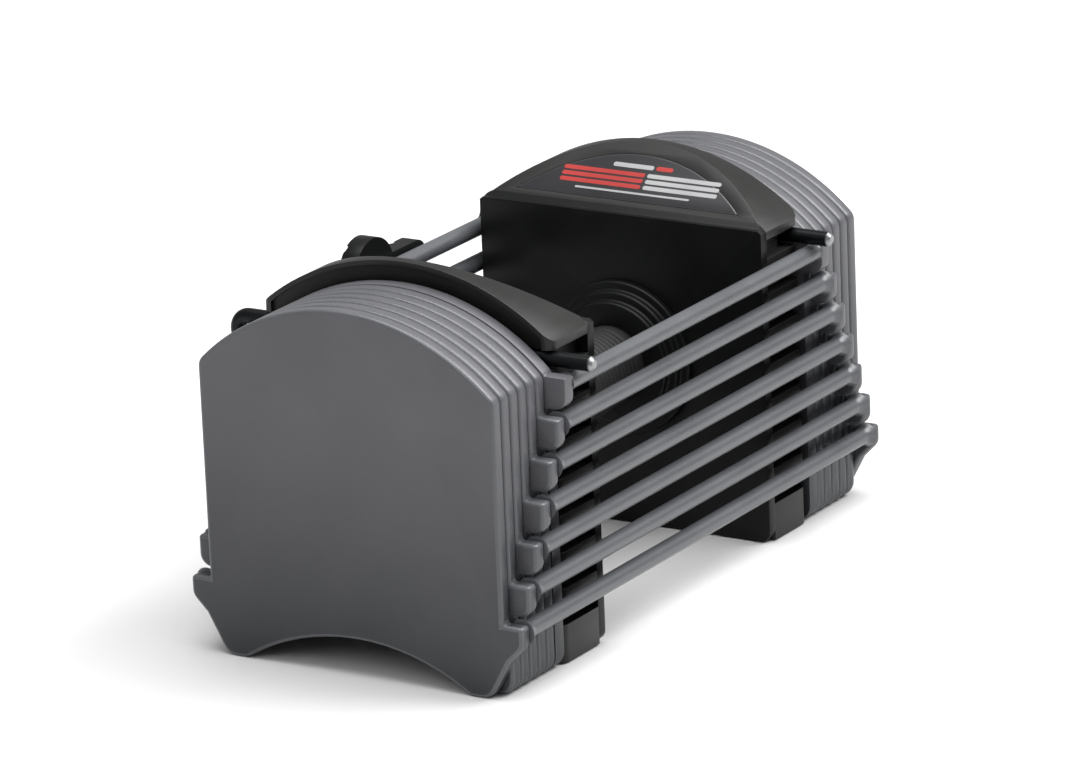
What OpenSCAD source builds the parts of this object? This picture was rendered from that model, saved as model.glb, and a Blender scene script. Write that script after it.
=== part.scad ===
// Adjustable dumbbell: a ribbed handle core nested inside seven steel weights.
// X runs along the grip, Y across it, Z up; the origin is on the floor, under the middle.

/* [Weight plates] */
// Width of a plate without its ears
plate_w = 120; // [100:1:150]
// Height of the middle of the lowest rail
rail_low = 24.3; // [23.5:0.1:30]
// Rise of the arched top above the shoulders
arch_rise = 25; // [12:1:32]
// Radius of the shoulder corners
shoulder_r = 5; // [2:0.5:8]
// Thickness of one plate
plate_t = 5.4; // [3:0.1:8]
// Air between two nested plates
nest_gap = 0.23; // [0.2:0.01:0.6]
// Height of the arch under a plate
foot_arch_h = 13.5; // [8:0.5:18]
// Width of a foot, from the plate's side to the arch
foot_w = 14; // [13:0.5:20]
// Radius of a foot's outer corner
foot_r = 6; // [3:0.5:8]

/* [Rails] */
// Diameter of a side rail
rail_d = 6.3; // [5:0.1:8]
// Air between a plate's side and the rails
rail_gap = 1.5; // [0.6:0.1:4]
// Air between an ear and the one below it
ear_gap = 1.7; // [0.8:0.1:3]
// Radius of an ear's lower corner
ear_r = 4.5; // [2:0.1:5]

/* [Handle core] */
// Opening between the two end blocks
hand_gap = 116; // [95:1:140]
// Thickness of an end block along the grip
block_t = 28; // [23:0.5:36]
// Thickness of the flat inner cover
cover_t = 4; // [3:0.1:6]
// Air between a block's side and the rails
side_gap = 2.3; // [1:0.1:4]
// Air between a block's outer face and the innermost plate
end_gap = 0.6; // [0.4:0.1:2]
// Air between the floor and the core
floor_gap = 0.6; // [0.4:0.1:1]
// Depth of the grooves in the sides
side_groove = 4.5; // [2:0.1:6]
// Height of the cap's ends above the plates' shoulders
cap_rise = 10; // [8:0.5:14]
// Rise of the cap's own arch above its ends
cap_arch_rise = 22; // [16:1:32]
// Thickness of the lip around the cap's face
lip_t = 1.8; // [1:0.1:3]
// Wall of the end block
wall = 3; // [2:0.1:4]

/* [Grip] */
// Outer diameter of the steel handle tube
tube_d = 26; // [21:0.1:32]
// Wall of the steel handle tube
tube_wall = 3; // [2:0.1:4]
// Thickness of the grip sleeve in the palm
sleeve_t = 4.5; // [3.5:0.1:7]
// Width of the stepped collar around the sleeve's end
collar_w = 11.5; // [7:0.1:14]

/* [Selector pin] */
// Diameter of the pin's steel rod
pin_d = 5.5; // [4:0.1:7]
// Air above and below the rod in its groove
pin_clear = 0.7; // [0.4:0.05:1]
// How far the rod's tips stand out beyond the rails
tip_out = 6.5; // [3:0.5:14]
// How far the moulded grip stands out beyond the rails
grip_out = 7.5; // [7:0.1:14]
// Width of the pin's moulded grip
pin_grip_w = 68; // [50:1:90]
// Height of the grip's crown above the rod in its groove
pin_grip_crown = 6; // [4:0.1:12]

/* [Fixings] */
// Diameter of the bolt that holds an end block
bolt_d = 8; // [6:0.1:10]
// Diameter of the round well around the bolt head
bolt_well_d = 21; // [18:0.1:26]
// Shank diameter of a base screw
screw_d = 4; // [3:0.1:5]
// Distance between the two base screws
screw_gap = 25; // [16:1:32]
// Width of the recess in the base
recess_w = 45; // [42:1:60]

/* [Hidden] */
COUNT = 7;
$fn = 96;
big = 400;
seat_fit = 0.05;
label_fit = 0.15;

// Rails: the pin has to pass between two of them
groove_h = pin_d + 2 * pin_clear;
rail_pitch = rail_d + groove_h;
rail_reach = plate_w / 2 + rail_gap + rail_d;
rail_y = rail_reach - rail_d / 2;
shoulder_h = rail_z(1) + rail_d / 2;
grip_z = rail_z(4);

// Nest of weights
nest_step = plate_t + nest_gap;
block_in = hand_gap / 2;
block_out = block_in + block_t;
nest_in = block_out + end_gap;
arch_r = arch_radius(plate_w / 2, arch_rise);
arch_z = shoulder_h + arch_rise - arch_r;
foot_half = plate_w / 2 - foot_w;
foot_arch_r = (foot_half * foot_half + foot_arch_h * foot_arch_h) / (2 * foot_arch_h);
ear_h = rail_pitch - ear_gap;
heel_h = 7.2;
heel_out = 2;
heel_in = 3.5;

// Core
block_half = rail_y - rail_d / 2 - side_gap;
cap_z = rail_z(1) + rail_pitch / 2 + groove_h / 2;
base_top = rail_z(COUNT) - rail_pitch / 2 - groove_h / 2;
cap_shoulder = shoulder_h + cap_rise;
cap_top = cap_shoulder + cap_arch_rise;
cap_r = arch_radius(block_half, cap_arch_rise);
cap_arch_z = cap_top - cap_r;
cover_out = block_in + cover_t;
pin_gap = 0.6;
groove_depth = pin_d + 2 * pin_gap;
corner_r = 4;
rib_r = 2.6;
lip_depth = 1.5;
ledge_w = 2;
ledge_rise = 1;
ledge_z = cap_shoulder + ledge_rise;
crest_t = 4;
slope_angle = atan2(cap_top - ledge_z, block_t - crest_t - ledge_w);
label_t = 0.8;
label_margin = 4;
label_foot = 3.5;

// Inside the core
cavity_x = block_out - groove_depth - wall;
cavity_half = block_half - side_groove - wall;
cavity_low = floor_gap + wall;
cavity_high = cap_z - wall;
tube_r = tube_d / 2;
washer_t = 1.5;
head_t = 5;
well_floor = block_out - groove_depth - head_t - washer_t;
well_web = 4;
tube_end = well_floor - well_web;
plug_l = 16;
boss_r = max(tube_r, bolt_well_d / 2) + wall;
bolt_fit = 0.2;
washer_play = 3;
washer_d = bolt_well_d - washer_play;
head_step = 3;
head_d = washer_d - head_step;
hex_d = 7;
hex_depth = 3;
ballast_t = 7;
ballast_gap = 1.5;
ballast_x = cover_out + ballast_gap;
ballast_half = cavity_half - ballast_gap;
ballast_lift = 1;
ballast_low = cavity_low + ballast_lift;
ballast_rise = 26;
ballast_high = grip_z + ballast_rise;
boss_gap = 0.5;
recess_depth = 3;
recess_roof = 3.6;
recess_high = base_top - recess_roof;
screw_head_d = 7;
screw_head_t = 2.6;
screw_bite = 0.5;
screw_head_gap = 0.2;
screw_z = recess_high - screw_head_gap - screw_head_d / 2;

// Grip
sleeve_r = tube_r + sleeve_t;
waist_depth = 1.5;
sleeve_waist = sleeve_r - waist_depth;
sleeve_stop = 9;
sleeve_half = block_in - sleeve_stop;
sleeve_rings = 12;
sleeve_chamfer = 1;
collar_steps = 3;
collar_brim = 2;
collar_r = sleeve_r + collar_w;
collar_step = (collar_w - collar_brim) / collar_steps;
collar_l = block_in - sleeve_half;

// Selector pin
pin_r = pin_d / 2;
pin_z = rail_z(1) + rail_pitch / 2;
pin_x = block_out - groove_depth + pin_gap + pin_r;
bend_r = 5;
pin_grip_y = rail_reach + grip_out;
pin_grip_gap = 0.5;
pin_grip_t = grip_out - pin_grip_gap;
pin_bar_y = pin_grip_y - pin_grip_t / 2;
pin_bar_z = pin_z - 2 * bend_r;
pin_tip = 1.2;
pin_tip_y = -rail_reach - tip_out;
pin_grip_top = pin_z + pin_grip_crown;
pin_grip_drop = 8;
pin_grip_low = pin_bar_z - pin_grip_drop;
pin_shoulder = 8.5;
pin_crown_r = 13;
pin_corner_r = 5;

// Height of the middle of rail k, counted from the top
function rail_z(k) = rail_low + (COUNT - k) * rail_pitch;

// Inner face of the plates of weight k
function plate_x(k) = nest_in + (k - 1) * nest_step;

// Radius of an arch that rises by so much over the half width
function arch_radius(half, rise) = (half * half + rise * rise) / (2 * rise);

// Points of an arc of radius r around c, from angle a to angle b
function arc(c, r, a, b, steps) =
    [for (i = [0:steps]) c + r * [cos(a + (b - a) * i / steps), sin(a + (b - a) * i / steps)]];

// The same points on the other side of the middle, in the opposite order
function mirrored(points) = [for (i = [len(points) - 1:-1:0]) [-points[i].x, points[i].y]];

// Side of a lighter weight: a foot with a round corner, and an ear with a round lower corner
function light_side(half, ear_low) = concat(
    arc([half - foot_r, foot_r], foot_r, -90, 0, 6),
    [[half, ear_low]],
    arc([rail_reach - ear_r, ear_low + ear_r], ear_r, -90, 0, 6)
);

// Side of the heaviest weight, whose ears run down into its feet in two slopes
function heavy_side(half, heel) = concat(
    arc([half - foot_r - heel_in, foot_r], foot_r, -90, -30, 4),
    [[half + heel_out, heel + half + heel_out - rail_reach]],
    arc([rail_reach - ear_r, heel + ear_r * tan(22.5)], ear_r, -45, 0, 3)
);

// One side of weight k's outline, from the arch between the feet up to the crown
function half_outline(k) =
    let (
        half = plate_w / 2,
        ear_top = rail_z(k) + rail_d / 2,
        shoulder_y = half - shoulder_r,
        shoulder = [shoulder_y, arch_z + sqrt(pow(arch_r - shoulder_r, 2) - pow(shoulder_y, 2))],
        shoulder_end = atan2(shoulder.y - arch_z, shoulder.x),
        shoulder_start = asin(max(0, ear_top - shoulder.y) / shoulder_r)
    )
    concat(
        arc([0, foot_arch_h - foot_arch_r], foot_arch_r, 90, 90 - asin(foot_half / foot_arch_r), 16),
        k == COUNT ? heavy_side(half, ear_top - heel_h) : light_side(half, ear_top - ear_h),
        [[rail_reach, ear_top]],
        shoulder_start > 0 ? [] : [[half, ear_top]],
        arc(shoulder, shoulder_r, shoulder_start, shoulder_end, 6),
        arc([0, arch_z], arch_r, shoulder_end + 2, 90, 24)
    );

// Stands its outline up in the YZ plane, thickness t from x on
module upright(x, t) {
    translate([x, 0, 0]) rotate([90, 0, 90]) linear_extrude(t) children();
}

// Lays its round piece along the grip's axis, from x on
module along_grip(x) {
    translate([x, 0, grip_z]) rotate([0, 90, 0]) children();
}

// Puts a piece drawn at the right end on the side asked for
module on_side(side) {
    if (side == "left") mirror([1, 0, 0]) children();
    else children();
}

module weight_plate(k, side) {
    outline = half_outline(k);
    color("dimgray") on_side(side) upright(plate_x(k), plate_t) polygon(concat(outline, mirrored(outline)));
}

module weight_rail(k, y) {
    color("darkgray") translate([-plate_x(k), y, rail_z(k)]) rotate([0, 90, 0])
        cylinder(d = rail_d, h = 2 * plate_x(k));
}

// Plan of the end block: square at the inner cover, rounded at its outer corners
module block_plan(half, out, r) {
    translate([cover_out, -half]) square([out - cover_out - r, 2 * half]);
    translate([cover_out, r - half]) square([out - cover_out, 2 * (half - r)]);
    for (y = [-1, 1]) translate([out - r, y * (half - r)]) circle(r);
}

// Area under the cap's arch, moved in by gap, from the height low up
module under_arch(gap, low) {
    intersection() {
        translate([-big / 2, low]) square(big);
        translate([0, cap_arch_z]) circle(cap_r - gap, $fn = 240);
    }
}

// Everything on the hand's side of the sloped face, moved back by gap
module hand_side(gap) {
    translate([block_in + ledge_w, 0, ledge_z]) rotate([0, -slope_angle, 0])
        translate([-big / 2, -big / 2, gap]) cube(big);
}

// Arched cap, with its outer face set back inside a lip
module cap() {
    difference() {
        intersection() {
            translate([0, 0, cap_z]) linear_extrude(cap_top - cap_z + 1)
                block_plan(block_half, block_out, corner_r);
            upright(cover_out, block_t) under_arch(0, cap_z);
        }
        hand_side(0);
        intersection() {
            upright(block_out - lip_depth, 2 * lip_depth) under_arch(lip_t, cap_z - 1);
            translate([0, corner_r - block_half, 0]) cube([big, 2 * (block_half - corner_r), big]);
        }
    }
}

module end_block(side) {
    color("black") on_side(side) difference() {
        union() {
            // Body behind the grooves
            translate([0, 0, floor_gap]) linear_extrude(cap_z + 1 - floor_gap)
                block_plan(block_half - side_groove, block_out - groove_depth, rib_r);
            // Base
            translate([0, 0, floor_gap]) linear_extrude(base_top - floor_gap)
                block_plan(block_half, block_out, corner_r);
            // Ribs, one behind each rail and as high as it
            for (k = [1:COUNT]) translate([0, 0, rail_z(k) - rail_d / 2]) linear_extrude(rail_d)
                block_plan(block_half, block_out, corner_r);
            cap();
        }
        // Hollow for the ballast plate, open towards the hand
        difference() {
            translate([cover_out - 1, -cavity_half, cavity_low])
                cube([cavity_x - cover_out + 1, 2 * cavity_half, cavity_high - cavity_low]);
            along_grip(cover_out - 2) cylinder(r = boss_r, h = block_t);
        }
        // Seat of the handle tube, bolt hole and round well
        along_grip(cover_out - 1) cylinder(r = tube_r + seat_fit, h = tube_end - cover_out + 1);
        along_grip(cover_out) cylinder(d = bolt_d + 2 * bolt_fit, h = block_t);
        along_grip(well_floor) cylinder(d = bolt_well_d, h = block_t);
        // Shallow recess in the base, open at the bottom, and its screw holes
        translate([block_out - recess_depth, -recess_w / 2, 0])
            cube([recess_depth + 1, recess_w, recess_high]);
        for (y = [-1, 1]) translate([cavity_x - 1, y * screw_gap / 2, screw_z]) rotate([0, 90, 0])
            cylinder(d = screw_d, h = block_t);
        // Seat of the label
        label_shape(label_fit);
    }
}

// D-shaped tablet in the sloped face
module label_shape(gap) {
    intersection() {
        upright(cover_out, block_t) under_arch(label_margin - gap, ledge_z + label_foot - gap);
        difference() {
            hand_side(-label_t);
            hand_side(0);
        }
    }
}

module label_plate(side) {
    color("dimgray") on_side(side) label_shape(0);
}

// Outline of the inner cover: round lower corners, and the cap's arch at the top
module cover_outline() {
    translate([-block_half, floor_gap + corner_r])
        square([2 * block_half, cap_z - floor_gap - corner_r]);
    translate([corner_r - block_half, floor_gap])
        square([2 * (block_half - corner_r), cap_z - floor_gap]);
    for (y = [-1, 1]) translate([y * (block_half - corner_r), floor_gap + corner_r]) circle(corner_r);
    intersection() {
        translate([-block_half, cap_z - 1]) square([2 * block_half, big]);
        under_arch(0, cap_z - 1);
    }
}

// Flat cover with a narrow ledge at its top, where the cap's slope begins
module inner_cover(side) {
    color("black") on_side(side) difference() {
        upright(block_in, cover_t) cover_outline();
        intersection() {
            hand_side(0);
            translate([0, -big / 2, ledge_z]) cube(big);
        }
        along_grip(block_in - 1) cylinder(r = tube_r + seat_fit, h = cover_t + 2);
    }
}

module ballast_plate(side) {
    color("slategray") on_side(side) difference() {
        translate([ballast_x, -ballast_half, ballast_low])
            cube([ballast_t, 2 * ballast_half, ballast_high - ballast_low]);
        along_grip(ballast_x - 1) cylinder(r = boss_r + boss_gap, h = ballast_t + 2);
    }
}

module handle_tube() {
    color("silver") along_grip(-tube_end) difference() {
        cylinder(r = tube_r, h = 2 * tube_end);
        translate([0, 0, -1]) cylinder(r = tube_r - tube_wall, h = 2 * tube_end + 2);
    }
}

module tube_plug(side) {
    color("gray") on_side(side) along_grip(tube_end - plug_l) difference() {
        cylinder(r = tube_r - tube_wall, h = plug_l);
        translate([0, 0, -1]) cylinder(d = bolt_d, h = plug_l + 2);
    }
}

// Contoured sleeve: full in the palm, waisted towards both ends
module grip_sleeve() {
    color("black") along_grip(0) rotate_extrude() polygon(concat(
        [[tube_r, -sleeve_half], [tube_r, sleeve_half]],
        [for (i = [sleeve_rings:-1:-sleeve_rings]) [
            sleeve_waist + waist_depth * cos(180 * i / sleeve_rings)
                - (abs(i) == sleeve_rings ? sleeve_chamfer : 0),
            sleeve_half * i / sleeve_rings
        ]]
    ));
}

// Stepped round collar between the inner cover and the sleeve
module grip_collar(side) {
    color("black") on_side(side) along_grip(sleeve_half) difference() {
        for (i = [0:collar_steps - 1])
            translate([0, 0, collar_l - collar_l * (i + 1) / collar_steps])
                cylinder(r = collar_r - i * collar_step, h = collar_l * (i + 1) / collar_steps);
        translate([0, 0, -1]) cylinder(r = tube_r, h = block_in);
    }
}

module end_bolt(side) {
    shank_l = well_floor + washer_t - tube_end + plug_l;
    color("silver") on_side(side) along_grip(tube_end - plug_l) difference() {
        union() {
            cylinder(d = bolt_d, h = shank_l);
            translate([0, 0, shank_l]) cylinder(d = head_d, h = head_t);
        }
        translate([0, 0, shank_l + head_t - hex_depth]) cylinder(d = hex_d, h = head_t, $fn = 6);
    }
}

module bolt_washer(side) {
    color("silver") on_side(side) along_grip(well_floor) difference() {
        cylinder(d = washer_d, h = washer_t);
        translate([0, 0, -1]) cylinder(d = bolt_d, h = washer_t + 2);
    }
}

module base_screws(side) {
    seat_x = block_out - recess_depth;
    color("silver") on_side(side) for (y = [-1, 1])
        translate([0, y * screw_gap / 2, screw_z]) rotate([0, 90, 0]) {
            translate([0, 0, cavity_x - screw_bite])
                cylinder(d = screw_d, h = seat_x - cavity_x + screw_bite);
            translate([0, 0, seat_x]) difference() {
                cylinder(d = screw_head_d, h = screw_head_t);
                translate([0, 0, screw_head_t / 2])
                    cylinder(d = screw_head_d / 2, h = screw_head_t, $fn = 6);
            }
        }
}

// One half of the bent rod: prong, two quarter bends and half of the bar
module pin_half() {
    leg_end = pin_bar_y - bend_r;
    // Prong with a chamfered tip
    translate([pin_x, leg_end, pin_z]) rotate([90, 0, 0])
        cylinder(r = pin_r, h = leg_end - pin_tip_y - pin_tip);
    translate([pin_x, pin_tip_y + pin_tip, pin_z]) rotate([90, 0, 0])
        cylinder(r1 = pin_r, r2 = pin_r - pin_tip, h = pin_tip);
    // Bend down, then bend inwards
    translate([pin_x, leg_end, pin_z - bend_r]) rotate([0, -90, 0])
        rotate_extrude(angle = 90) translate([bend_r, 0]) circle(pin_r);
    translate([pin_x - bend_r, pin_bar_y, pin_z - bend_r]) rotate([90, 90, 0])
        rotate_extrude(angle = 90) translate([bend_r, 0]) circle(pin_r);
    translate([0, pin_bar_y, pin_bar_z]) rotate([0, 90, 0]) cylinder(r = pin_r, h = pin_x - bend_r);
}

module selector_pin_rod() {
    color("darkslategray") {
        pin_half();
        mirror([1, 0, 0]) pin_half();
    }
}

// Moulded grip around the rod's bar, with round corners and a round crown in the middle
module selector_pin_grip() {
    color("black") difference() {
        translate([0, pin_grip_y, 0]) rotate([90, 0, 0]) linear_extrude(pin_grip_t) {
            translate([0, pin_grip_top - pin_crown_r]) circle(pin_crown_r);
            translate([-pin_grip_w / 2, pin_grip_low + pin_corner_r])
                square([pin_grip_w, pin_grip_top - pin_shoulder - pin_grip_low - 2 * pin_corner_r]);
            translate([pin_corner_r - pin_grip_w / 2, pin_grip_low])
                square([pin_grip_w - 2 * pin_corner_r, pin_grip_top - pin_shoulder - pin_grip_low]);
            for (x = [-1, 1], z = [pin_grip_low + pin_corner_r, pin_grip_top - pin_shoulder - pin_corner_r])
                translate([x * (pin_grip_w / 2 - pin_corner_r), z]) circle(pin_corner_r);
        }
        translate([-pin_grip_w, pin_bar_y, pin_bar_z]) rotate([0, 90, 0])
            cylinder(r = pin_r + seat_fit, h = 2 * pin_grip_w);
    }
}

weight_plate(1, "left");  // weight_1_plate_left
weight_plate(1, "right");  // weight_1_plate_right
weight_rail(1, -rail_y);  // weight_1_rail_front
weight_rail(1, rail_y);  // weight_1_rail_back
weight_plate(2, "left");  // weight_2_plate_left
weight_plate(2, "right");  // weight_2_plate_right
weight_rail(2, -rail_y);  // weight_2_rail_front
weight_rail(2, rail_y);  // weight_2_rail_back
weight_plate(3, "left");  // weight_3_plate_left
weight_plate(3, "right");  // weight_3_plate_right
weight_rail(3, -rail_y);  // weight_3_rail_front
weight_rail(3, rail_y);  // weight_3_rail_back
weight_plate(4, "left");  // weight_4_plate_left
weight_plate(4, "right");  // weight_4_plate_right
weight_rail(4, -rail_y);  // weight_4_rail_front
weight_rail(4, rail_y);  // weight_4_rail_back
weight_plate(5, "left");  // weight_5_plate_left
weight_plate(5, "right");  // weight_5_plate_right
weight_rail(5, -rail_y);  // weight_5_rail_front
weight_rail(5, rail_y);  // weight_5_rail_back
weight_plate(6, "left");  // weight_6_plate_left
weight_plate(6, "right");  // weight_6_plate_right
weight_rail(6, -rail_y);  // weight_6_rail_front
weight_rail(6, rail_y);  // weight_6_rail_back
weight_plate(7, "left");  // weight_7_plate_left
weight_plate(7, "right");  // weight_7_plate_right
weight_rail(7, -rail_y);  // weight_7_rail_front
weight_rail(7, rail_y);  // weight_7_rail_back
end_block("left");  // end_block_left
end_block("right");  // end_block_right
inner_cover("left");  // inner_cover_left
inner_cover("right");  // inner_cover_right
label_plate("left");  // label_plate_left
label_plate("right");  // label_plate_right
ballast_plate("left");  // ballast_plate_left
ballast_plate("right");  // ballast_plate_right
tube_plug("left");  // tube_plug_left
tube_plug("right");  // tube_plug_right
grip_collar("left");  // grip_collar_left
grip_collar("right");  // grip_collar_right
end_bolt("left");  // end_bolt_left
end_bolt("right");  // end_bolt_right
bolt_washer("left");  // bolt_washer_left
bolt_washer("right");  // bolt_washer_right
base_screws("left");  // base_screws_left
base_screws("right");  // base_screws_right
handle_tube();
grip_sleeve();
selector_pin_rod();
selector_pin_grip();
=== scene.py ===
# Adjustable dumbbell: a black handle core nested in seven grey steel weights, on a pale floor.
from math import cos, pi, radians, sin

import bpy
from mathutils import Matrix, Vector


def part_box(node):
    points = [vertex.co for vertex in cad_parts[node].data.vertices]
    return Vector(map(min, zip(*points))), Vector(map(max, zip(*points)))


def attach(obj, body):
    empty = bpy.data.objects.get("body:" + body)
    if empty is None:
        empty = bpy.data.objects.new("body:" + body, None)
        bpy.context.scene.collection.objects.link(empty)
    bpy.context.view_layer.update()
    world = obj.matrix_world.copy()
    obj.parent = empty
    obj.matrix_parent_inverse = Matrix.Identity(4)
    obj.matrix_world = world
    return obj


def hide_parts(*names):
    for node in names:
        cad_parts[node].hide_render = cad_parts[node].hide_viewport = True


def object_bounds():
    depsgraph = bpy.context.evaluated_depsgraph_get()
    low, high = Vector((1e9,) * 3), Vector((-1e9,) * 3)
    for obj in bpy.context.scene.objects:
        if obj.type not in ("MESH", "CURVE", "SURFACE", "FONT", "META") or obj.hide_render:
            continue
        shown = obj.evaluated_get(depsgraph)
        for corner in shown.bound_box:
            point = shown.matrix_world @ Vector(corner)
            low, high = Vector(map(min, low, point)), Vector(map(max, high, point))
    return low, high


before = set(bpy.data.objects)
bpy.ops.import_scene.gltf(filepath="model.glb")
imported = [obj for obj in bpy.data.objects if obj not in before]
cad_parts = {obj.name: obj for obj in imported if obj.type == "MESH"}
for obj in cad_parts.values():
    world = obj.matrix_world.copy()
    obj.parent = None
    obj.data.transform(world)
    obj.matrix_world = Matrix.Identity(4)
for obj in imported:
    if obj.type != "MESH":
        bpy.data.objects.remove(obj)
cad_low, cad_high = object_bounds()

# --- Camera ---------------------------------------------------------------------------------
# A long lens stands almost two and a half metres off, towards the near left corner and a little
# above the object. It leans by two degrees to the right.
aim = Vector((0, 0, (cad_low.z + cad_high.z) / 2))
lens_azimuth, lens_elevation, lens_lean = -57.8, 17.3, 2.4
lens_distance = 2.44
focal_length = 228


def direction(azimuth, elevation):
    """Unit vector from the object; azimuth 0 is the front, and it grows towards the right."""
    a, e = radians(azimuth), radians(elevation)
    return Vector((sin(a) * cos(e), -cos(a) * cos(e), sin(e)))


towards_lens = direction(lens_azimuth, lens_elevation)
bpy.ops.object.camera_add(location=aim + towards_lens * lens_distance)
camera = bpy.context.active_object
camera.name = "camera"
upright_turn = (-towards_lens).to_track_quat("-Z", "Y").to_matrix()
camera.rotation_euler = (upright_turn @ Matrix.Rotation(radians(-lens_lean), 3, "Z")).to_euler()
camera.data.lens = focal_length
camera.data.clip_start = 0.05
camera.data.clip_end = 60
bpy.context.scene.camera = camera

# --- Weight plates --------------------------------------------------------------------------
# Fourteen plates of steel sheet, cut with an arched top, two feet and a pair of ears, and
# tumbled until no edge is sharp. A fine-grained grey powder is baked on, a little thinner over
# the edges. The faces carry painted shade that darkens them towards the feet, so the edges
# stay lighter.
SIDES = ("left", "right")
WEIGHTS = range(1, 8)
mm = 0.001
plate_edge = 1.3 * mm
# Heights where the painted shade on the plate faces is at its full and where it ends
shade_full_below, shade_ends_above = 5 * mm, 95 * mm
same_point = 0.001 * mm
same_plane = radians(0.6)
round_within = radians(32)


class Finish:
    """A material made of noise in the piece's own space, with short calls for its nodes."""

    usual_span = (0.3, 0.7)

    def __init__(self, name, metal=0.0):
        self.material = bpy.data.materials.new(name)
        self.material.use_nodes = True
        self.nodes = self.material.node_tree.nodes
        self.links = self.material.node_tree.links
        self.shader = self.nodes["Principled BSDF"]
        self.shader.inputs["Metallic"].default_value = metal
        self.place = self.nodes.new("ShaderNodeTexCoord").outputs["Object"]
        self.relief = None

    def grain(self, scale, detail=3.0, stretch=(1, 1, 1)):
        """Noise with so many features to the metre; stretch below 1 draws them out along an axis."""
        mapping = self.nodes.new("ShaderNodeMapping")
        mapping.inputs["Scale"].default_value = stretch
        self.links.new(self.place, mapping.inputs["Vector"])
        noise = self.nodes.new("ShaderNodeTexNoise")
        noise.inputs["Scale"].default_value = scale
        noise.inputs["Detail"].default_value = detail
        self.links.new(mapping.outputs["Vector"], noise.inputs["Vector"])
        return noise.outputs["Fac"]

    def along(self, axis):
        """The place along one axis, in metres."""
        split = self.nodes.new("ShaderNodeSeparateXYZ")
        self.links.new(self.place, split.inputs["Vector"])
        return split.outputs[axis]

    def ramp(self, value, start, end, low=0.0, high=1.0):
        """Turns start..end of a value into low..high, and holds it beyond both."""
        node = self.nodes.new("ShaderNodeMapRange")
        node.inputs["From Min"].default_value = start
        node.inputs["From Max"].default_value = end
        node.inputs["To Min"].default_value = low
        node.inputs["To Max"].default_value = high
        self.links.new(value, node.inputs["Value"])
        return node.outputs["Result"]

    def both(self, first, second, how="ADD"):
        """Adds or multiplies two values."""
        node = self.nodes.new("ShaderNodeMath")
        node.operation = how
        self.links.new(first, node.inputs[0])
        self.links.new(second, node.inputs[1])
        return node.outputs["Value"]

    def paint(self, value, dark, light):
        """Colours the piece from one shade to another as a value goes from 0 to 1."""
        mix = self.nodes.new("ShaderNodeMix")
        mix.data_type = "RGBA"
        mix.inputs["A"].default_value = (*dark, 1)
        mix.inputs["B"].default_value = (*light, 1)
        self.links.new(value, mix.inputs["Factor"])
        self.links.new(mix.outputs["Result"], self.shader.inputs["Base Color"])

    def polish(self, value, low, high):
        """Sets the roughness from low to high over the usual span of a noise."""
        rough = self.ramp(value, *self.usual_span, low, high)
        self.links.new(rough, self.shader.inputs["Roughness"])

    def emboss(self, value, depth):
        """Adds relief of a depth in metres over any that is already there."""
        bump = self.nodes.new("ShaderNodeBump")
        bump.inputs["Distance"].default_value = depth
        self.links.new(value, bump.inputs["Height"])
        if self.relief is not None:
            self.links.new(self.relief, bump.inputs["Normal"])
        self.relief = bump.outputs["Normal"]
        self.links.new(self.relief, self.shader.inputs["Normal"])


def powder_coat(name, dark, light, rough, foot_shade=0.0):
    """Baked powder: an orange-peel skin, fine specks, faint clouds, and painted shade darkening it towards
    the feet.
    """
    coat = Finish(name)
    speck = coat.grain(2600, 2)
    cloud = coat.grain(34, 4)
    peel = coat.grain(900, 2)
    # Specks and clouds are scaled down to leave room for the painted shade towards the feet
    grain_share = 1 - foot_shade
    specks = coat.ramp(speck, 0.36, 0.66, 0, 0.55 * grain_share)
    clouds = coat.ramp(cloud, *coat.usual_span, 0, 0.45 * grain_share)
    shade = coat.both(specks, clouds)
    # Painted shade: the colour darkens towards the feet, below the given height
    if foot_shade:
        shade = coat.both(shade, coat.ramp(coat.along("Z"), shade_full_below, shade_ends_above, 0, foot_shade))
    coat.paint(shade, dark, light)
    coat.polish(cloud, rough - 0.04, rough + 0.06)
    coat.emboss(peel, 0.05 * mm)
    coat.emboss(speck, 0.02 * mm)
    return coat.material


def select_only(piece):
    """Leaves one object selected and active."""
    bpy.ops.object.select_all(action="DESELECT")
    piece.select_set(True)
    bpy.context.view_layer.objects.active = piece


def whole_copy(node, name):
    """A free copy of a CAD node, merged from loose triangles into whole faces."""
    select_only(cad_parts[node])
    bpy.ops.object.duplicate()
    piece = bpy.context.active_object
    piece.parent = None
    piece.name = name
    for key in list(piece.keys()):
        del piece[key]
    bpy.ops.mesh.customdata_custom_splitnormals_clear()
    bpy.ops.object.mode_set(mode="EDIT")
    bpy.ops.mesh.select_all(action="SELECT")
    bpy.ops.mesh.remove_doubles(threshold=same_point)
    bpy.ops.mesh.dissolve_limited(angle_limit=same_plane)
    bpy.ops.object.mode_set(mode="OBJECT")
    return piece


def ease_edges(piece, radius, steps=3, sharp=30):
    """Rounds every edge that turns by more than sharp degrees; any second material is for the rounds."""
    select_only(piece)
    rounding = piece.modifiers.new("rounding", "BEVEL")
    rounding.width = radius
    rounding.segments = steps
    rounding.limit_method = "ANGLE"
    rounding.angle_limit = radians(sharp)
    rounding.material = 1 if len(piece.data.materials) > 1 else -1
    bpy.ops.object.modifier_apply(modifier=rounding.name)
    bpy.ops.object.shade_smooth_by_angle(angle=round_within)


def coat_with(piece, *materials):
    """Gives a piece its materials, the main one first."""
    piece.data.materials.clear()
    for material in materials:
        piece.data.materials.append(material)


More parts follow.
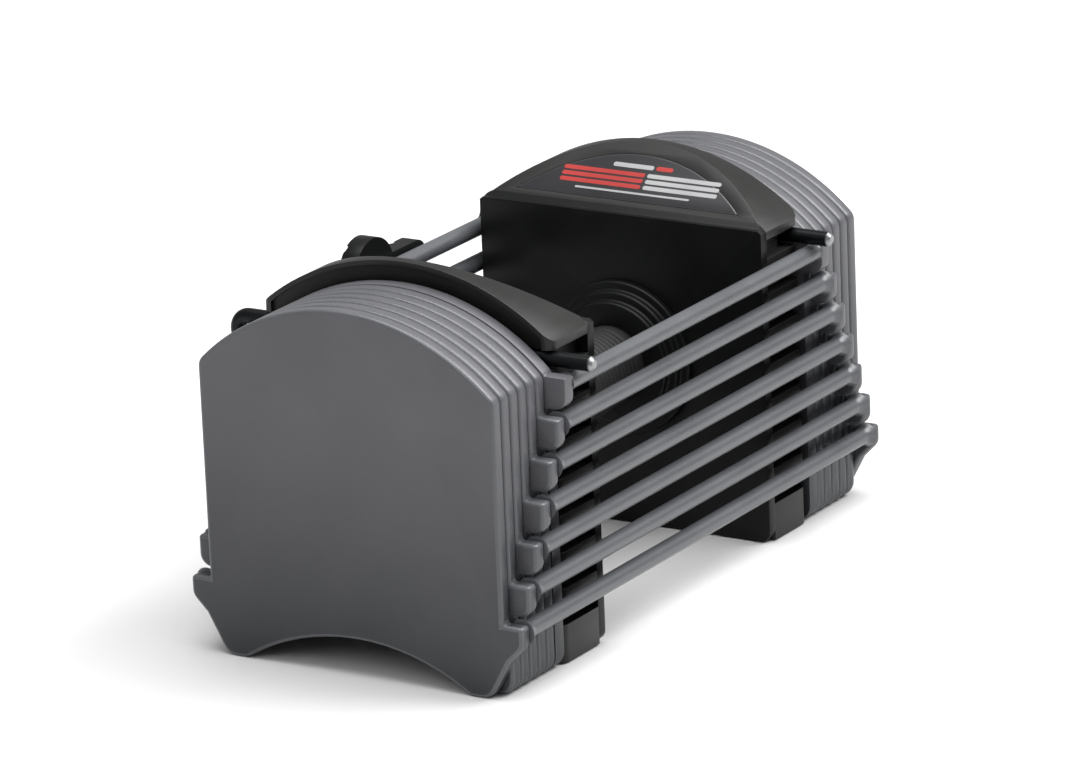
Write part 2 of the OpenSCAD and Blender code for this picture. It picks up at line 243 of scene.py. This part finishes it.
# The plate faces carry painted shade towards the feet; the rounded edges do not
plate_face = powder_coat(
    "grey_powder_on_faces", (0.004, 0.007, 0.009), (0.086, 0.084, 0.093), 0.42, foot_shade=0.72
)
plate_rim = powder_coat("grey_powder_on_edges", (0.056, 0.059, 0.064), (0.084, 0.088, 0.094), 0.3)
for number in WEIGHTS:
    for side in SIDES:
        node = f"weight_{number}_plate_{side}"
        plate = whole_copy(node, f"plate_{number}_{side}")
        coat_with(plate, plate_face, plate_rim)
        ease_edges(plate, plate_edge)
        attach(plate, f"weight_{number}")
        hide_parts(node)

# --- Side rails -----------------------------------------------------------------------------
# Round steel bars that join the two plates of each weight. Each is welded against the inner
# face of an ear, with a smooth flared weld, and is coated together with its plates.
weld_out = 1.5 * mm
weld_long = 4.4 * mm
weld_steps = 8
turned_within = radians(40)
pin_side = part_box("selector_pin_rod")[1].x


def turned(name, y, z, profile, sides=48):
    """A round solid along X, drawn out ring by ring from its (x, radius) profile."""
    bpy.ops.object.select_all(action="DESELECT")
    start, radius = profile[0]
    bpy.ops.mesh.primitive_circle_add(
        vertices=sides, radius=radius, fill_type="NGON", location=(start, y, z), rotation=(0, pi / 2, 0)
    )
    piece = bpy.context.active_object
    piece.name = name
    bpy.ops.object.transform_apply(location=True, rotation=True, scale=True)
    bpy.ops.object.mode_set(mode="EDIT")
    bpy.ops.mesh.select_all(action="SELECT")
    for place, wide in profile[1:]:
        bpy.ops.mesh.extrude_region_move(TRANSFORM_OT_translate={"value": (place - start, 0, 0)})
        grow = wide / radius
        bpy.ops.transform.resize(value=(1, grow, grow), center_override=(place, y, z))
        start, radius = place, wide
    bpy.ops.mesh.select_all(action="SELECT")
    bpy.ops.mesh.normals_make_consistent(inside=False)
    bpy.ops.object.mode_set(mode="OBJECT")
    bpy.ops.object.shade_smooth_by_angle(angle=turned_within)
    return piece


def rail_profile(low, high, radius):
    """A plain bar with a weld that flares out towards each end, short where the pin passes."""
    long = min(weld_long, high - pin_side)
    out = weld_out * long / weld_long
    flare = [
        (long * step / weld_steps, radius + out * (1 - sin(pi / 2 * step / weld_steps)))
        for step in range(weld_steps + 1)
    ]
    return [(low + x, r) for x, r in flare] + [(high - x, r) for x, r in reversed(flare)]


rail_coat = powder_coat("grey_powder_on_rails", (0.056, 0.059, 0.064), (0.085, 0.089, 0.096), 0.3)
for number in WEIGHTS:
    for place in ("front", "back"):
        node = f"weight_{number}_rail_{place}"
        low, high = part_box(node)
        middle = (low + high) / 2
        profile = rail_profile(low.x, high.x, (high.z - low.z) / 2)
        rail = turned(f"rail_{number}_{place}", middle.y, middle.z, profile)
        coat_with(rail, rail_coat)
        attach(rail, f"weight_{number}")
        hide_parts(node)

# --- End blocks -----------------------------------------------------------------------------
# Two blocks moulded in black glass-filled nylon, with a rib behind each rail and a groove for
# the pin between every two. The arched cap has a lip on the outside and slopes to the hand.
block_edge = 0.75 * mm


def moulded(name, dark, light, rough, grain_scale, grain_depth, gloss=0.5):
    """Moulded plastic: faint flow clouds and the fine grain of an eroded mould."""
    plastic = Finish(name)
    plastic.shader.inputs["Specular IOR Level"].default_value = gloss
    cloud = plastic.grain(28, 5)
    plastic.paint(plastic.ramp(cloud, *plastic.usual_span), dark, light)
    plastic.polish(cloud, rough - 0.05, rough + 0.06)
    plastic.emboss(plastic.grain(grain_scale, 3), grain_depth)
    return plastic.material


block_nylon = moulded(
    "black_nylon", (0.007, 0.0067, 0.0064), (0.013, 0.0125, 0.012), 0.4, 1500, 0.03 * mm, 0.32
)
# The rounded edges get a lighter, glossier copy of the nylon: a painted highlight
nylon_edge_highlight = moulded(
    "black_nylon_painted_edge_highlight", (0.02, 0.0198, 0.0195), (0.032, 0.0317, 0.031), 0.3, 1500, 0.02 * mm
)
for side in SIDES:
    block = whole_copy(f"end_block_{side}", f"ribbed_block_{side}")
    coat_with(block, block_nylon, nylon_edge_highlight)
    ease_edges(block, block_edge)
    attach(block, "handle")
    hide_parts(f"end_block_{side}")

# --- Inner covers and collars ---------------------------------------------------------------
# A smooth moulded cover closes each block towards the hand, with a narrow ledge at its top.
# A stepped collar is pressed on against it, around the end of the grip.
cover_edge = 1.1 * mm
collar_edge = 0.8 * mm
cover_plastic = moulded(
    "black_cover", (0.003, 0.0032, 0.0032), (0.006, 0.0064, 0.0064), 0.36, 1900, 0.02 * mm, 0.16
)
# The covers' and the pin grip's rounded edges get a far lighter, glossier copy of the black: a painted
# highlight
cover_edge_highlight = moulded(
    "black_cover_painted_edge_highlight", (0.03, 0.0305, 0.031), (0.042, 0.0425, 0.043), 0.26, 1900, 0.02 * mm
)
for side in SIDES:
    for node, name, edge, edge_finish in (
        (f"inner_cover_{side}", f"flat_cover_{side}", cover_edge, cover_edge_highlight),
        (f"grip_collar_{side}", f"stepped_collar_{side}", collar_edge, cover_plastic),
    ):
        piece = whole_copy(node, name)
        coat_with(piece, cover_plastic, edge_finish)
        ease_edges(piece, edge, 4, 35)
        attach(piece, "handle")
        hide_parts(node)

# --- Labels ---------------------------------------------------------------------------------
# A D-shaped tablet of glossy laminate is glued into the sloped face of each cap. It is printed
# with plain red and white stripes, a tenth of a millimetre thick.
tablet_edge = 0.3 * mm
print_t = 0.1 * mm
print_corner = 0.9 * mm
stripe_count = 3
stripe_pitch = 2.5 * mm
lowest_stripe = 6.2 * mm
film_grain = 0.004 * mm
tablet_gloss = moulded(
    "label_laminate", (0.013, 0.013, 0.0145), (0.019, 0.019, 0.021), 0.36, 300, film_grain, 0.2
)
# The tablet's rounded rim gets a lighter, glossier copy of the laminate: a painted highlight
tablet_edge_highlight = moulded("label_painted_edge_highlight", (0.04, 0.04, 0.043), (0.055, 0.055, 0.06), 0.2, 300, film_grain, 0.4)
print_red = moulded("red_print", (0.27, 0.012, 0.009), (0.34, 0.016, 0.012), 0.34, 900, film_grain)
print_white = moulded("white_print", (0.25, 0.25, 0.255), (0.33, 0.33, 0.335), 0.34, 900, film_grain)
# Name, middle to the right of the label's middle, middle up from its foot, length, height, ink
label_bars = [
    ("top_white", -2.5 * mm, 14.6 * mm, 17 * mm, 1.8 * mm, print_white),
    ("top_red", 10.5 * mm, 14.6 * mm, 7 * mm, 1.8 * mm, print_red),
    ("thin_white", 1 * mm, 3.4 * mm, 48 * mm, 0.8 * mm, print_white),
]
for stripe in range(stripe_count):
    up = lowest_stripe + stripe * stripe_pitch
    label_bars.append((f"wide_red_{stripe}", -13.5 * mm, up, 34 * mm, 1.7 * mm, print_red))
    label_bars.append((f"wide_white_{stripe}", 20 * mm, up, 31 * mm, 1.7 * mm, print_white))


def flat_bar(name, length, height):
    """A thin bar that lies at the origin, with its four upright corners rounded."""
    bpy.ops.object.select_all(action="DESELECT")
    bpy.ops.mesh.primitive_cube_add(size=1)
    bar = bpy.context.active_object
    bar.name = name
    bar.scale = (length, height, print_t)
    bpy.ops.object.transform_apply(scale=True)
    corners = bar.modifiers.new("corners", "BEVEL")
    corners.width = min(print_corner, height / 2.2)
    corners.segments = 4
    corners.limit_method = "WEIGHT"
    weight = bar.data.attributes.new("bevel_weight_edge", "FLOAT", "EDGE")
    for edge in bar.data.edges:
        first, second = (bar.data.vertices[v].co for v in edge.vertices)
        weight.data[edge.index].value = 1.0 if abs(first.z - second.z) > print_t / 2 else 0.0
    bpy.ops.object.modifier_apply(modifier=corners.name)
    return bar


for side in SIDES:
    tablet = whole_copy(f"label_plate_{side}", f"label_tablet_{side}")
    face = max(tablet.data.polygons, key=lambda part: part.area * (part.normal.z > 0))
    outward = face.normal.copy()
    across = Vector((0, 1 if outward.x > 0 else -1, 0))
    uphill = outward.cross(across)
    foot = min((tablet.data.vertices[v].co for v in face.vertices), key=lambda corner: corner.z)
    origin = Vector((foot.x, 0, foot.z))
    coat_with(tablet, tablet_gloss, tablet_edge_highlight)
    ease_edges(tablet, tablet_edge, 2, 40)
    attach(tablet, "handle")
    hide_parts(f"label_plate_{side}")
    slope = Matrix((across, uphill, outward)).transposed().to_4x4()
    for name, along, up, length, height, ink in label_bars:
        bar = flat_bar(f"label_{name}_{side}", length, height)
        bar.matrix_world = Matrix.Translation(origin + across * along + uphill * up) @ slope
        bpy.ops.object.transform_apply(location=True, rotation=True, scale=True)
        coat_with(bar, ink)
        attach(bar, "handle")

# --- Grip -----------------------------------------------------------------------------------
# A soft rubber sleeve over the steel tube, full in the palm and waisted at both ends. It is
# moulded with fine round ribs that run around it.
rib_pitch = 2.8 * mm
rib_high = 0.45 * mm
rib_steps = 4
sleeve_low, sleeve_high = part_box("grip_sleeve")
palm_radius = (sleeve_high.z - sleeve_low.z) / 2
tube_low, tube_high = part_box("handle_tube")
bore_radius = (tube_high.z - tube_low.z) / 2
waist_drop = 1.5 * mm
smooth_end = 5 * mm
end_radius = palm_radius - 2 * waist_drop - rib_high
grip_middle = (sleeve_low + sleeve_high) / 2


def sleeve_profile():
    """The palm's swell with ribs over all but the two smooth ends."""
    half = sleeve_high.x
    count = round(2 * (half - smooth_end) / rib_pitch) * rib_steps
    rings = [(-half, end_radius)]
    for step in range(count + 1):
        x = (half - smooth_end) * (2 * step / count - 1)
        swell = cos(pi * x / half)
        rib = rib_high * (cos(2 * pi * step / rib_steps) - 1) / 2
        rings.append((x, palm_radius - waist_drop + waist_drop * swell + rib))
    rings.append((half, end_radius))
    return rings


def select_ends(piece):
    """Enters edit mode with only the two flat ends of a round piece along X selected."""
    bpy.ops.object.mode_set(mode="EDIT")
    bpy.ops.mesh.select_mode(type="FACE")
    bpy.ops.mesh.select_all(action="DESELECT")
    bpy.ops.object.mode_set(mode="OBJECT")
    for part in piece.data.polygons:
        part.select = abs(part.normal.x) > 0.99 and len(part.vertices) > 4
    bpy.ops.object.mode_set(mode="EDIT")


grip_rubber = moulded("grip_rubber", (0.006, 0.006, 0.006), (0.011, 0.011, 0.011), 0.6, 900, 0.08 * mm, 0.3)
sleeve = turned("rubber_sleeve", grip_middle.y, grip_middle.z, sleeve_profile(), 72)
select_only(sleeve)
select_ends(sleeve)
bpy.ops.mesh.inset(thickness=end_radius - bore_radius)
select_ends(sleeve)
bpy.ops.mesh.bridge_edge_loops()
bpy.ops.object.mode_set(mode="OBJECT")
bpy.ops.object.shade_smooth_by_angle(angle=turned_within)
coat_with(sleeve, grip_rubber)
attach(sleeve, "handle")
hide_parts("grip_sleeve")

# --- Tube, plugs, ballast and fixings -------------------------------------------------------
# Inside the core are plain steel parts: the tube with its threaded plugs and a ballast plate at
# each end. Zinc-plated bolts, washers and screws hold the core together from outside.


def metal(name, dark, light, rough, scale, stretch):
    """Bare or plated steel, with fine marks drawn out along its length."""
    steel = Finish(name, 1.0)
    streak = steel.grain(scale, 4, stretch)
    steel.paint(steel.ramp(streak, *steel.usual_span), dark, light)
    steel.polish(streak, rough - 0.06, rough + 0.08)
    steel.emboss(streak, 0.01 * mm)
    return steel.material


drawn_steel = metal("drawn_steel", (0.34, 0.34, 0.35), (0.5, 0.5, 0.51), 0.36, 500, (0.05, 1, 1))
mill_steel = metal("mill_steel", (0.13, 0.13, 0.135), (0.24, 0.24, 0.25), 0.5, 60, (1, 1, 0.3))
zinc = metal("zinc_plate", (0.5, 0.51, 0.52), (0.68, 0.69, 0.7), 0.28, 300, (1, 1, 1))
coat_with(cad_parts["handle_tube"], drawn_steel)
for side in SIDES:
    coat_with(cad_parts[f"tube_plug_{side}"], drawn_steel)
    coat_with(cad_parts[f"ballast_plate_{side}"], mill_steel)
    for name in ("end_bolt", "bolt_washer", "base_screws"):
        coat_with(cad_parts[f"{name}_{side}"], zinc)

# --- Selector pin ---------------------------------------------------------------------------
# A steel rod is bent to a U, blackened, and worn bright where its tips slide in. A moulded grip
# with finger grooves is pressed over the middle of the bar.
bare_tip = 0.6 * mm
faded_tip = 1.6 * mm
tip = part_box("selector_pin_rod")[0].y
blackened = Finish("blackened_rod", 0.85)
streak = blackened.grain(420, 4, (1, 0.12, 1))
worn = blackened.ramp(blackened.along("Y"), tip + bare_tip, tip + faded_tip, 1, 0)
worn = blackened.both(worn, blackened.ramp(streak, 0.25, 0.6, 0.4, 1), "MULTIPLY")
blackened.paint(worn, (0.012, 0.013, 0.014), (0.3, 0.305, 0.31))
blackened.polish(streak, 0.3, 0.42)
coat_with(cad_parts["selector_pin_rod"], blackened.material)

groove_count = 7
groove_pitch = 7.5 * mm
groove_radius = 2.6 * mm
groove_depth = 0.7 * mm
cutter_long = 60 * mm
cutter_drop = 6 * mm
grip_edge = 0.8 * mm
pin_grip = whole_copy("selector_pin_grip", "pin_grip")
grip_low, grip_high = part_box("selector_pin_grip")
bpy.ops.object.select_all(action="DESELECT")
for index in range(groove_count):
    bpy.ops.mesh.primitive_cylinder_add(
        vertices=40, radius=groove_radius, depth=cutter_long,
        location=(
            (index - (groove_count - 1) / 2) * groove_pitch,
            grip_high.y + groove_radius - groove_depth,
            grip_low.z - cutter_drop,
        ),
    )
    cutter = bpy.context.active_object
    bpy.ops.object.transform_apply(location=True)
    select_only(pin_grip)
    groove = pin_grip.modifiers.new("groove", "BOOLEAN")
    groove.operation = "DIFFERENCE"
    groove.solver = "EXACT"
    groove.object = cutter
    bpy.ops.object.modifier_apply(modifier=groove.name)
    bpy.data.objects.remove(cutter)
# The grip's rounded edges carry the painted highlight of the covers
coat_with(pin_grip, cover_plastic, cover_edge_highlight)
ease_edges(pin_grip, grip_edge, 3, 35)
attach(pin_grip, "selector_pin")
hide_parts("selector_pin_grip")

# --- Floor and light ------------------------------------------------------------------------
# A pale floor that runs out of view. A broad key light stands high on the right, a large panel
# hangs overhead, and a weaker one fills the end plates from the left.
bpy.ops.object.select_all(action="DESELECT")
bpy.ops.mesh.primitive_plane_add(size=60)
floor = bpy.context.active_object
floor.name = "floor"
pale = Finish("pale_floor")
pale.paint(pale.grain(3, 2), (0.56, 0.56, 0.56), (0.59, 0.59, 0.59))
pale.shader.inputs["Roughness"].default_value = 0.7
coat_with(floor, pale.material)

for name, azimuth, elevation, distance, size, power in (
    ("key_light", 35, 50, 2.2, 1.3, 58),
    ("overhead_panel", -40, 86, 2.0, 1.8, 62),
    ("fill_light", -85, 38, 2.4, 1.3, 14),
):
    towards_light = direction(azimuth, elevation)
    bpy.ops.object.light_add(type="AREA", location=aim + towards_light * distance)
    lamp = bpy.context.active_object
    lamp.name = name
    lamp.data.size = size
    lamp.data.energy = power
    lamp.rotation_euler = towards_light.to_track_quat("Z", "Y").to_euler()

white = bpy.data.worlds.new("white_surround")
white.use_nodes = True
white.node_tree.nodes["Background"].inputs["Color"].default_value = (1, 1, 1, 1)
white.node_tree.nodes["Background"].inputs["Strength"].default_value = 0.38
bpy.context.scene.world = white
bpy.context.scene.view_settings.view_transform = "Standard"
